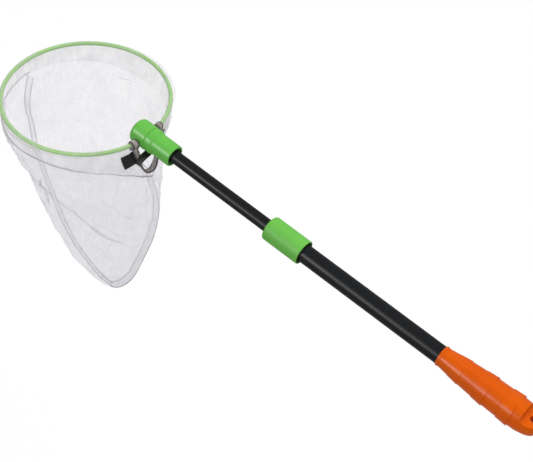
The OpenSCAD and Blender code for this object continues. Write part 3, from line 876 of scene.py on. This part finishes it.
@dataclass
class NetBag:
    """The bag: a doubled casing round the rod, two panels, their seam and the stitching.

    Args:
        finishes: Every finish.
        form: The bag's form.
        sleeve_r: Radius of the casing where it lies round the rod.
        layer_gap: Distance of each casing layer from the bag's surface.
        seam_w: Width of the seam allowance.
        lap: Share of the casing's grid in each layer, the rest going round the rod.
        hug: Angle up to which it lies on the rod, each way from the top.
        neck: Depth at which the two layers meet below the rod.
        end_ease: Angle by which the casing reaches under the cuffs.
        hem_w: Width of the hem on the casing's lower seam.
        front_turn: Degrees of that seam that the front's thread takes.
        tip_share: Share of the side seam that goes round the tip.
    """

    finishes: Finishes
    form: BagForm = field(default_factory=BagForm)
    sleeve_r: float = 0.0034
    layer_gap: float = 0.0007
    seam_w: float = 0.0108
    lap: float = 0.36
    hug: float = math.radians(148)
    neck: float = 0.0042
    end_ease: float = 0.012
    hem_w: float = 0.0022
    front_turn: int = 183
    tip_share: float = 0.08

    def build(self) -> None:
        """Builds every piece of the bag."""
        self.casing()
        self.panel(Side.FRONT)
        self.panel(Side.BACK)
        self.seam_allowance()
        self.hems()
        # The back stitches take the faint net instead of thread: painted light on the same seam that is dark at the
        # front.
        self.yoke_stitches("casing_stitches_front", -self.front_turn, "thread")
        self.yoke_stitches("casing_stitches_back", 360 - self.front_turn, "mesh_hem_painted_light")
        self.seam_stitches("side_stitches", 0.0007, (0.0030, 0.0011))
        self.seam_stitches("overlock_stitches", self.seam_w * 0.94, (0.0034, 0.0010))

    def casing_place(self, u: float, v: float) -> Vector:
        """Places the casing's grid: down the outside, round the rod and down the inside."""
        hoop = self.form.hoop
        start = hoop.open_angle - self.end_ease
        from_head = start + u * (2 * math.pi - 2 * start)
        a = math.pi + from_head
        degrees = math.degrees(a) % 360
        low = self.form.yoke_line(degrees)
        swing = 5 * ruffle(from_head * 3, 0, 0)
        wrinkle = 0.0010 * ruffle(from_head * 7, v * 6, 3) + 0.0005 * math.sin(from_head * 58 + swing)
        if self.lap <= v <= 1 - self.lap:
            turn = (v - 0.5) / (0.5 - self.lap) * self.hug
            slack = 0.0030 * max(0.0, math.sin(from_head * 1.7 - 0.4 + ruffle(from_head * 4, 1, 1))) ** 2
            r = self.sleeve_r + 0.00025 * ruffle(from_head * 30, turn * 2, 9)
            r += slack * math.sin(turn) ** 2 if turn < 0 else 0.0
            return hoop.on_rod(a, -r * math.sin(turn), r * math.cos(turn))
        t = (abs(v - 0.5) - (0.5 - self.lap)) / self.lap
        top = self.neck - 0.0013
        spread = self.sleeve_r * math.sin(self.hug) * max(0.0, 1 - t * 3) ** 2
        gap = math.copysign(self.layer_gap + spread, 0.5 - v)
        ease = min(1.0, 2.5 * t, 6 * (1 - t))
        return self.form.surface(degrees, top + t * (low - top), gap + wrinkle * ease)

    def casing(self) -> None:
        """Makes the doubled casing band, which wraps the rod."""
        around = self.form.hoop.radius * (2 * math.pi - 2 * self.form.hoop.open_angle)
        mesh = laid_grid(360, 40, self.casing_place, around, 0.085)
        obj = Piece("casing_cloth", "mesh").finish(mesh, self.finishes["mesh_casing"])
        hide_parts("casing_band")

    def panel(self, side: Side) -> None:
        """Makes one half of the bag below the casing."""
        def place(u: float, v: float) -> Vector:
            """Places the panel's grid from the casing seam to the tip."""
            angle = 0.1 + 179.8 * u
            top = self.form.yoke_line(side.value * angle) - (0.0015 if side is Side.FRONT else 0.0002)
            depth = top + (self.form.depth - top) * (1 - (1 - v) ** 1.12)
            return self.form.cloth(side, angle, depth)

        mesh = laid_grid(250, 250, place, 0.330, 0.330)
        if side is Side.BACK:
            bmesh.ops.reverse_faces(mesh, faces=mesh.faces)
        half = side.name.lower()
        obj = Piece(f"bag_cloth_{half}", "mesh").finish(mesh, self.finishes["mesh"])
        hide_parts(f"bag_{half}_panel")

    def seam_point(self, u: float, out: float) -> Vector:
        """Gives a point of the side seam, from the head down the pole side, round the tip and up the far side."""
        low = self.form.depth
        straight = (1 - self.tip_share) / 2
        if min(u, 1 - u) < straight:
            angle = 180 if u < 0.5 else 0
            top = self.form.yoke_line(angle)
            share = math.sin(min(u, 1 - u) / straight * math.pi / 2) ** 1.02
            return self.form.surface(angle, top + (low - top) * share, out)
        t = (u - straight) / self.tip_share
        side = Vector((math.cos(math.pi * (1 - t)), 0, -math.sin(math.pi * t)))
        return self.form.surface(180, low).lerp(self.form.surface(0, low), t) + side * out

    def seam_frame(self, u: float) -> tuple[Vector, Vector, Vector]:
        """Gives a place on the side seam with the directions along it and outward."""
        run = (self.seam_point(min(u + 0.003, 1), 0.0002) - self.seam_point(max(u - 0.003, 0), 0.0002)).normalized()
        return self.seam_point(u, 0.0002), run, run.cross(Vector((0, 1, 0))).normalized()

    @staticmethod
    def strip_share(u: float) -> float:
        """Gives the share of the seam allowance's full width at a place, which the cutting makes uneven."""
        return 1 + 0.12 * ruffle(u * 40, 2, 5)

    def seam_allowance(self) -> None:
        """Makes the strip of joined cloth that stands outside the side seam."""
        def place(u: float, v: float) -> Vector:
            """Places the strip's grid along the seam and across its width."""
            base, _, out = self.seam_frame(u)
            width = self.seam_w * self.strip_share(u)
            sway = 0.0016 * v * ruffle(u * 26, v, 1) + 0.0006 * v * math.sin(u * 210)
            return base + out * width * v + Vector((0, sway, 0))

        mesh = laid_grid(320, 6, place, 0.690, self.seam_w)
        obj = Piece("seam_allowance", "mesh").finish(mesh, self.finishes["mesh_strip"])
        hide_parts("side_seam")

    def hems(self) -> None:
        """Makes the narrow raised hems: along the casing's lower seam and down both of its open ends."""
        form = self.form

        def yoke(turn: float) -> Place:
            """Gives the placing of the hem on the casing's lower seam over a range of angles from the head."""
            def place(u: float, v: float) -> Vector:
                """Places the hem's grid along the seam and across."""
                angle = 180 + turn * u
                depth = form.yoke_line(angle) + self.hem_w * (v - 0.5)
                return form.surface(angle, depth, 0.0009 + 0.0006 * math.sin(math.pi * v))
            return place

        def end(sign: int) -> Place:
            """Gives the placing of one open end's hem, from its cuff to the casing seam."""
            def place(u: float, v: float) -> Vector:
                """Places the hem's grid down the end and across."""
                degrees = math.degrees(form.hoop.open_angle - self.end_ease)
                angle = 180 + sign * (degrees + 1.3 * (v - 0.5) - 4.0 * u * u)
                depth = 0.004 + u * (form.yoke_line(angle) - 0.004)
                return form.surface(angle, depth, 0.0004 + 0.0008 * math.sin(math.pi * v))
            return place

        front, back = self.front_turn, 360 - self.front_turn
        degree = math.radians(1) * form.hoop.radius
        # The front seam is the dense grey net, partly painted shade; the back seam is the faint copy, painted light.
        for name, place, length, width, columns, slot in (
            ("casing_seam_front", yoke(-front), front * degree, self.hem_w, front, "mesh_seam"),
            ("casing_seam_back", yoke(back), back * degree, self.hem_w, back, "mesh_hem_painted_light"),
            ("casing_end_front", end(-1), 0.045, 0.002, 40, "mesh_seam"),
            ("casing_end_back", end(1), 0.045, 0.002, 40, "mesh_seam"),
        ):
            Piece(name, "mesh").finish(laid_grid(columns, 4, place, length, width), self.finishes[slot])

    def yoke_stitches(self, name: str, turn: float, thread: str) -> None:
        """Makes a row of stitches along the casing's lower seam.

        Args:
            name: The piece's name.
            turn: Angle that it covers from the head.
            thread: The thread's finish.
        """
        count = int(abs(turn) * 0.58)
        spots = []
        for i in range(count):
            angle = 180 + turn * (i + 0.5) / count
            here = self.form.surface(angle, self.form.yoke_line(angle), 0.0017)
            there = self.form.surface(angle + 0.5, self.form.yoke_line(angle + 0.5), 0.0017)
            spots.append((here, there - here))
        stitch_row(name, spots, (0.0024, 0.0006), self.finishes[thread])

    def seam_stitches(self, name: str, out: float, size: Point) -> None:
        """Makes a row of stitches along the side seam.

        Args:
            name: The piece's name.
            out: Distance outward from the seam.
            size: Length and thickness of one stitch.
        """
        count = 220
        spots = []
        for i in range(count):
            u = (i + 0.5) / count
            here, run, side = self.seam_frame(u)
            spots.append((here + side * out * self.strip_share(u), run))
        stitch_row(name, spots, size, self.finishes["dark_thread"])


# ---------------------------------------------------------------- tape, ribbon and label


@dataclass
class HeadTapes:
    """The tape looped over the rod's ends, its hanging loop, the black ribbon and the bare label.

    Every path is given from the rod's near side: along the pole, across it and up.
    """

    finishes: Finishes
    hoop: HoopForm = field(default_factory=HoopForm)
    cuff_r: float = 0.0046
    tape_w: float = 0.0080
    tape_t: float = 0.0009
    ribbon_w: float = 0.0088
    loop: tuple[Triple, ...] = (
        (-0.0028, 0.0245, -0.0030), (-0.0042, 0.0222, -0.0100), (-0.0050, 0.0195, -0.0190),
        (-0.0058, 0.0160, -0.0290), (-0.0066, 0.0125, -0.0395), (-0.0073, 0.0080, -0.0490),
        (-0.0076, 0.0020, -0.0545), (-0.0076, -0.0050, -0.0550), (-0.0068, -0.0100, -0.0500),
        (-0.0058, -0.0135, -0.0400), (-0.0048, -0.0170, -0.0280), (-0.0040, -0.0205, -0.0150),
        (-0.0028, -0.0235, -0.0030),
    )
    turns: tuple[float, ...] = (100, 96, 86, 66, 40, 18, 2, -6, -2, 10, 30, 64, 88)
    ribbon: tuple[Triple, ...] = (
        (-0.0072, -0.0060, -0.0178), (-0.0078, 0.0020, -0.0182), (-0.0086, 0.0090, -0.0180), (-0.0088, 0.0165, -0.0192),
        (-0.0086, 0.0255, -0.0242),
    )
    label: tuple[Triple, ...] = (
        (0.0006, 0.0205, -0.0098), (0.0000, 0.0270, -0.0088), (0.0004, 0.0340, -0.0092), (0.0014, 0.0425, -0.0088),
    )
    label_drop: float = 0.0172

    def build(self) -> None:
        """Builds the tape pieces."""
        self.cuff("front_cuff_tape", "front_cuff", -1)
        self.cuff("back_cuff_tape", "back_cuff", 1)
        widths = [Vector((math.cos(math.radians(t)), -math.sin(math.radians(t)), 0)) for t in self.turns]
        self.strip("tape_ribbon", "tape_loop", self.loop, widths, self.tape_w, 160, "grey_tape")
        slant = [Vector((0.89, 0.1, 0.32))] * len(self.ribbon)
        self.strip("black_strap", "strap_tab", self.ribbon, slant, self.ribbon_w, 50, "black_tape")
        self.bare_label()

    def path(self, line: Sequence[Triple]) -> list[Vector]:
        """Moves a path's points into the row frame."""
        return [Vector((self.hoop.neck, 0, 0)) + Vector(p) for p in line]

    def cuff(self, name: str, node: str, sign: int) -> None:
        """Folds the tape over one end of the rod, so that both plies meet below it.

        Args:
            name: The piece's name.
            node: The node that it stands for.
            sign: -1 for the end at +Y and 1 for the end at -Y.
        """
        start = (self.hoop.drum_r + self.hoop.cuff_gap) / self.hoop.radius
        width = self.hoop.cuff_l + 0.0022

        def place(u: float, v: float) -> Vector:
            """Places the fold's grid round the rod and along it."""
            turn = 2 * math.pi * (u - 0.5) * 0.94
            below = max(0.0, (abs(turn) - 1.75) / 1.2)
            r = self.cuff_r * (1 + 1.25 * below**1.6) + 0.0004 * math.cos(math.pi * (v - 0.5) * 1.6)
            crumple = ruffle(turn * 2, v * 5, 7 + sign)
            ripple = 0.00018 * math.sin(v * 17 + turn * 0.8) + 0.00022 * crumple
            slant = 0.0007 * math.sin(turn + 0.6)
            angle = math.pi + sign * (start + (v * width + slant + 0.0004) / self.hoop.radius)
            narrow = 1 - 0.30 * below
            return self.hoop.on_rod(angle, -(r + ripple) * math.sin(turn) * narrow, (r + ripple) * math.cos(turn))

        mesh = laid_grid(56, 16, place, 2 * math.pi * self.cuff_r * 1.2, self.tape_w + 0.0004)
        obj = Piece(name, "grey_tape").finish(mesh, self.finishes["grey_tape"])
        thicken(obj, 0.0007)
        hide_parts(node)

    def strip(
        self, name: str, node: str, line: Sequence[Triple], widths: Sequence[Vector],
        width: float, columns: int, slot: str,
    ) -> None:
        """Makes a flat tape along a path, turning as it goes.

        Args:
            name: The piece's name.
            node: The node that it stands for.
            line: The path's points.
            widths: Rough direction of its width at each point.
            width: Its width.
            columns: Faces along it.
            slot: The finish.
        """
        points = self.path(line)

        def place(u: float, v: float) -> Vector:
            """Places the tape's grid along the path and across its width."""
            here, side, out = path_frame(points, u, smooth_path(widths, u))
            curl = 0.0004 * math.cos(math.pi * (v - 0.5) * 2)
            twist = 0.0005 * ruffle(u * 9, v * 2, 4)
            return here + side * (v - 0.5) * width + out * (curl + twist)

        mesh = laid_grid(columns, 10, place, path_length(points), width)
        obj = Piece(name, slot).finish(mesh, self.finishes[slot])
        thicken(obj, self.tape_t)
        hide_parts(node)

    def bare_label(self) -> None:
        """Makes the folded label, bare, with a soft curl and a rounded fold along its free edge."""
        points = self.path(self.label)

        def place(u: float, v: float) -> Vector:
            """Places the label's grid: down the front layer, round the fold and up the back layer."""
            top = smooth_path(points, u)
            down = Vector((-0.42, -0.04, -0.90)).normalized()
            away = Vector((-0.90, 0.1, 0.42)).normalized()
            t = 1 - abs(2 * v - 1)
            uneven = 0.0004 * ruffle(u * 3, t * 2, 8)
            bulge = 0.0005 + 0.0007 * math.sin(math.pi * min(t * 1.15, 1)) + uneven
            face = 1 if v < 0.5 else -1
            round_off = math.sqrt(max(0.0, 1 - max(0.0, (t - 0.93) / 0.07) ** 2))
            wave = 0.0010 * math.sin(u * 4.2 + t * 1.4) - 0.0022 * (1 - u) ** 2
            return top + down * self.label_drop * t + away * (face * bulge * round_off + wave)

        mesh = laid_grid(30, 60, place, 0.022, self.label_drop * 2)
        obj = Piece("bare_label", "black_tape").finish(mesh, self.finishes["black_tape"])
        thicken(obj, 0.0004)
        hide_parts("label_tag")


# ---------------------------------------------------------------- rigid parts


@dataclass
class RigidParts:
    """The moulded, tubular and metal parts, which keep their own shapes and get their finishes here.

    Args:
        finishes: Every finish.
        slots: The record's material slot of each node.
        special: Nodes whose finish isn't their slot's own.
    """

    finishes: Finishes
    slots: dict[str, str] = field(default_factory=lambda: {
        "grip": "grip_plastic", "outer_tube": "tube_black", "inner_tube": "tube_black", "lock_ferrule": "lock_plastic",
        "ferrule_rivets": "steel", "lock_collar": "green_plastic", "retaining_clip": "steel",
        "guide_sleeve": "white_nylon", "guide_pin": "steel", "head_socket": "green_plastic",
        "head_bush": "lock_plastic", "head_cap": "green_plastic", "head_screw": "steel", "hoop_rod": "hoop_green",
    })
    special: dict[str, str] = field(default_factory=lambda: {"lock_collar": "satin_green"})

    def dress(self) -> None:
        """Gives every rigid part its finish."""
        for node, slot in self.slots.items():
            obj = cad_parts[node]
            if not obj.material_slots:
                obj.data.materials.append(None)
            for place in obj.material_slots:
                place.material = self.finishes[self.special.get(node, slot)]


# ---------------------------------------------------------------- studio


@dataclass
class Studio:
    """The pale floor, the soft lamps and the camera.

    Args:
        floor_z: Height of the floor.
        floor_half: Half of its width.
        floor_glow: How brightly it shows to the camera.
        glow_share: Share of that in what the camera sees of it.
        surround: Strength of the surround as light; the camera sees it at 1.
        azimuth: Direction that the camera stands in, turned from -Y.
        elevation: Its angle above the object.
        roll: Its turn about its own axis.
        eye: Where it stands.
        lens: Its focal length in millimetres.
    """

    floor_z: float = -0.62
    floor_half: float = 4.0
    floor_glow: float = 1.06
    glow_share: float = 0.9
    surround: float = 0.48
    azimuth: float = math.radians(211.6726)
    elevation: float = math.radians(49.8791)
    roll: float = math.radians(11.5262)
    eye: Triple = (-0.138279, 0.823128, 1.138273)
    lens: float = 87.805

    def build(self) -> None:
        """Builds the whole studio."""
        self.floor()
        self.world()
        self.lamp("KeyLamp", (0.55, -0.9, 1.9), (0.35, 0, 0), (1.6, 1.6), 33, gloss=False)
        self.lamp("FillLamp", (-0.3, 1.7, 1.0), (0.35, 0, 0), (1.4, 1.0), 12, gloss=False)
        self.lamp("StripLamp", (0.94, 1.35, 0.62), (0.54, 0, 0), (1.22, 0.36), 38, diffuse=False)
        self.camera()

    def floor(self) -> None:
        """Makes a wide flat floor, which glows for the camera and stays grey for reflections."""
        mesh = bmesh.new()
        bmesh.ops.create_grid(mesh, x_segments=1, y_segments=1, size=self.floor_half)
        bmesh.ops.translate(mesh, verts=mesh.verts, vec=(0.35, 0, self.floor_z))
        data = bpy.data.meshes.new("floor")
        mesh.to_mesh(data)
        mesh.free()
        material, n, shader = new_material("PaleFloor")
        shader.inputs["Base Color"].default_value = (0.5, 0.5, 0.5, 1)
        shader.inputs["Roughness"].default_value = 0.9
        shader.inputs["Specular IOR Level"].default_value = 0.1
        glow = n.add("ShaderNodeEmission")
        glow.inputs["Strength"].default_value = self.floor_glow
        mix = n.add("ShaderNodeMixShader")
        rays = n.add("ShaderNodeLightPath")
        seen = n.math("MAXIMUM", rays.outputs["Is Camera Ray"], rays.outputs["Is Transmission Ray"])
        n.link(n.math("MULTIPLY", seen, self.glow_share), mix.inputs[0])
        n.link(shader.outputs[0], mix.inputs[1])
        n.link(glow.outputs[0], mix.inputs[2])
        n.link(mix.outputs[0], n.tree.nodes["Material Output"].inputs["Surface"])
        data.materials.append(material)
        placed("floor", data)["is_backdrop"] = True

    def world(self) -> None:
        """Sets an even pale surround that lights softly and shows white to the camera."""
        world = bpy.data.worlds.new("Surround")
        world.use_nodes = True
        bpy.context.scene.world = world
        n = Nodes(world.node_tree)
        background = n.tree.nodes["Background"]
        background.inputs["Color"].default_value = (1, 1, 1, 1)
        rays = n.add("ShaderNodeLightPath")
        seen = n.math("MULTIPLY", rays.outputs["Is Camera Ray"], 1 - self.surround)
        strength = n.math("ADD", seen, self.surround)
        n.link(strength, background.inputs["Strength"])

    def lamp(
        self, name: str, place: Triple, aim: Triple, size: Point, power: float,
        gloss: bool = True, diffuse: bool = True,
    ) -> None:
        """Adds a soft rectangular lamp.

        Args:
            name: Its name.
            place: Where it stands.
            aim: What it points at.
            size: Its width and height.
            power: Its power in watts.
            gloss: Whether glossy surfaces mirror it.
            diffuse: Whether it lights matt surfaces.
        """
        data = bpy.data.lights.new(name, "AREA")
        data.shape, data.size, data.size_y, data.energy = "RECTANGLE", size[0], size[1], power
        obj = placed(name, data)
        obj.visible_glossy, obj.visible_diffuse = gloss, diffuse
        obj.location = place
        obj.rotation_mode = "QUATERNION"
        obj.rotation_quaternion = (Vector(aim) - Vector(place)).to_track_quat("-Z", "Y")

    def camera(self) -> None:
        """Sets the camera above and beside the grip, looking along the pole."""
        a, e, r = self.azimuth, self.elevation, self.roll
        back = Vector((math.sin(a) * math.cos(e), -math.cos(a) * math.cos(e), math.sin(e)))
        level = Vector((math.cos(a), math.sin(a), 0))
        up = back.cross(level)
        right = level * math.cos(r) + up * math.sin(r)
        top = up * math.cos(r) - level * math.sin(r)
        data = bpy.data.cameras.new("Camera")
        data.lens, data.sensor_width = self.lens, 36
        data.clip_start, data.clip_end = 0.01, 50
        obj = placed("Camera", data)
        obj.matrix_world = Matrix.Translation(self.eye) @ Matrix((right, top, back)).transposed().to_4x4()
        bpy.context.scene.camera = obj


def main() -> None:
    """Builds the studio and the dressed net."""
    logging.basicConfig(level=logging.INFO, format="%(name)s: %(message)s")
    view = bpy.context.scene.view_settings
    view.view_transform = "Standard"
    Studio().build()
    finishes = Finishes()
    finishes.build()
    RigidParts(finishes).dress()
    NetBag(finishes).build()
    HeadTapes(finishes).build()
    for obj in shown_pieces():
        LOG.info("%s: %d faces", obj.name, len(obj.data.polygons))


if __name__ == "__main__":
    main()
